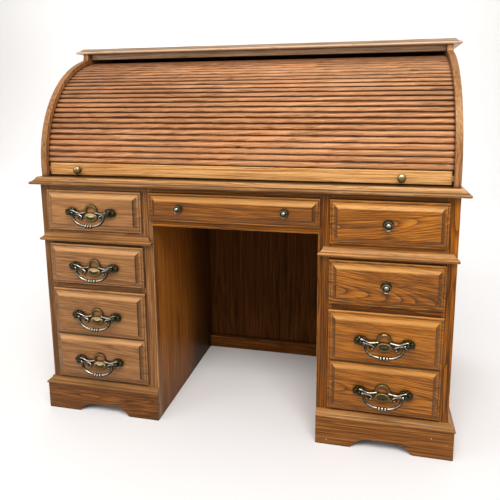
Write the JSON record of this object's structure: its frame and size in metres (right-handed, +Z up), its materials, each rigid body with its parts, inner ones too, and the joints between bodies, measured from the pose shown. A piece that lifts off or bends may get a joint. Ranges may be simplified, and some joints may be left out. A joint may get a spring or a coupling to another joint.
{
  "type": "roll-top desk",
  "caption": "Double-pedestal oak roll-top desk with a rolling tambour, sliding drawers with raised fronts, swinging bail pulls and an open kneehole.",
  "frame": {"origin": "on the floor, under the middle of the desk's bounding box", "axes": "+X to the sitter's right, +Y from the front to the back, +Z up"},
  "size_m": [1.272, 0.7282, 1.172],
  "materials": {
    "oak": "satin lacquered oak, golden brown",
    "oak_veneer": "satin oak veneer",
    "drawer_wood": "unfinished pale hardwood",
    "antique_brass": "dark antique brass, rubbed",
    "canvas": "plain cotton canvas"
  },
  "bodies": {
    "desk": {"desk_top": "oak", "left_outer_side": "oak", "left_inner_side": "oak_veneer", "left_face_frame": "oak", "left_waist_moulding": "oak", "left_plinth": "oak", "left_plinth_moulding": "oak", "left_drawer_runners": "drawer_wood", "left_roll_side": "oak", "right_outer_side": "oak", "right_inner_side": "oak_veneer", "right_face_frame": "oak", "right_waist_moulding": "oak", "right_plinth": "oak", "right_plinth_moulding": "oak", "right_drawer_runners": "drawer_wood", "right_roll_side": "oak", "pedestal_backs": "oak_veneer", "pedestal_floors": "oak", "centre_rails": "oak", "centre_drawer_runners": "drawer_wood", "kneehole_rail": "oak", "kneehole_panel": "oak_veneer", "roll_back": "oak_veneer", "roll_cap": "oak", "roll_fascia": "oak", "pigeonhole_unit": "oak"},
    "tambour": {"tambour_slats": "oak", "tambour_canvas": "canvas", "lead_rail": "oak", "lead_rail_knobs": "antique_brass"},
    "centre_drawer": {"centre_drawer_front": "oak", "centre_drawer_box": "drawer_wood", "centre_drawer_knobs": "antique_brass"},
    "left_upper_drawer": {"left_upper_drawer_front": "oak", "left_upper_drawer_box": "drawer_wood", "left_upper_pull": "antique_brass"},
    "left_upper_bail": {"left_upper_bail": "antique_brass"},
    "left_middle_drawer": {"left_middle_drawer_front": "oak", "left_middle_drawer_box": "drawer_wood", "left_middle_pull": "antique_brass"},
    "left_middle_bail": {"left_middle_bail": "antique_brass"},
    "left_file_drawer": {"left_file_drawer_front": "oak", "left_file_drawer_box": "drawer_wood", "left_file_pull": "antique_brass"},
    "left_file_lower_bail": {"left_file_lower_bail": "antique_brass"},
    "left_file_upper_bail": {"left_file_upper_bail": "antique_brass"},
    "right_upper_drawer": {"right_upper_drawer_front": "oak", "right_upper_drawer_box": "drawer_wood", "right_upper_knob": "antique_brass"},
    "right_middle_drawer": {"right_middle_drawer_front": "oak", "right_middle_drawer_box": "drawer_wood", "right_middle_knob": "antique_brass"},
    "right_file_drawer": {"right_file_drawer_front": "oak", "right_file_drawer_box": "drawer_wood", "right_file_pull": "antique_brass"},
    "right_file_lower_bail": {"right_file_lower_bail": "antique_brass"},
    "right_file_upper_bail": {"right_file_upper_bail": "antique_brass"}
  },
  "joints": [
    {"name": "tambour_roll", "type": "hinge", "parent": "desk", "child": "tambour", "pos_m": [0, 0.04315, 0.7914], "axis": [-1, 0, 0], "range_deg": [0, 66]},
    {"name": "centre_drawer_slide", "type": "slide", "parent": "desk", "child": "centre_drawer", "axis": [0, -1, 0], "range_m": [0, 0.28]},
    {"name": "left_upper_drawer_slide", "type": "slide", "parent": "desk", "child": "left_upper_drawer", "axis": [0, -1, 0], "range_m": [0, 0.38]},
    {"name": "left_upper_bail_swing", "type": "hinge", "parent": "left_upper_drawer", "child": "left_upper_bail", "pos_m": [-0.43175, -0.35665, 0.6615], "axis": [-1, 0, 0], "range_deg": [-10, 85]},
    {"name": "left_middle_drawer_slide", "type": "slide", "parent": "desk", "child": "left_middle_drawer", "axis": [0, -1, 0], "range_m": [0, 0.38]},
    {"name": "left_middle_bail_swing", "type": "hinge", "parent": "left_middle_drawer", "child": "left_middle_bail", "pos_m": [-0.43175, -0.35665, 0.492], "axis": [-1, 0, 0], "range_deg": [-10, 85]},
    {"name": "left_file_drawer_slide", "type": "slide", "parent": "desk", "child": "left_file_drawer", "axis": [0, -1, 0], "range_m": [0, 0.38]},
    {"name": "left_file_lower_bail_swing", "type": "hinge", "parent": "left_file_drawer", "child": "left_file_lower_bail", "pos_m": [-0.43175, -0.35665, 0.18725], "axis": [-1, 0, 0], "range_deg": [-10, 85]},
    {"name": "left_file_upper_bail_swing", "type": "hinge", "parent": "left_file_drawer", "child": "left_file_upper_bail", "pos_m": [-0.43175, -0.35665, 0.33575], "axis": [-1, 0, 0], "range_deg": [-10, 85]},
    {"name": "right_upper_drawer_slide", "type": "slide", "parent": "desk", "child": "right_upper_drawer", "axis": [0, -1, 0], "range_m": [0, 0.38]},
    {"name": "right_middle_drawer_slide", "type": "slide", "parent": "desk", "child": "right_middle_drawer", "axis": [0, -1, 0], "range_m": [0, 0.38]},
    {"name": "right_file_drawer_slide", "type": "slide", "parent": "desk", "child": "right_file_drawer", "axis": [0, -1, 0], "range_m": [0, 0.38]},
    {"name": "right_file_lower_bail_swing", "type": "hinge", "parent": "right_file_drawer", "child": "right_file_lower_bail", "pos_m": [0.43175, -0.35665, 0.18725], "axis": [-1, 0, 0], "range_deg": [-10, 85]},
    {"name": "right_file_upper_bail_swing", "type": "hinge", "parent": "right_file_drawer", "child": "right_file_upper_bail", "pos_m": [0.43175, -0.35665, 0.33575], "axis": [-1, 0, 0], "range_deg": [-10, 85]}
  ]
}
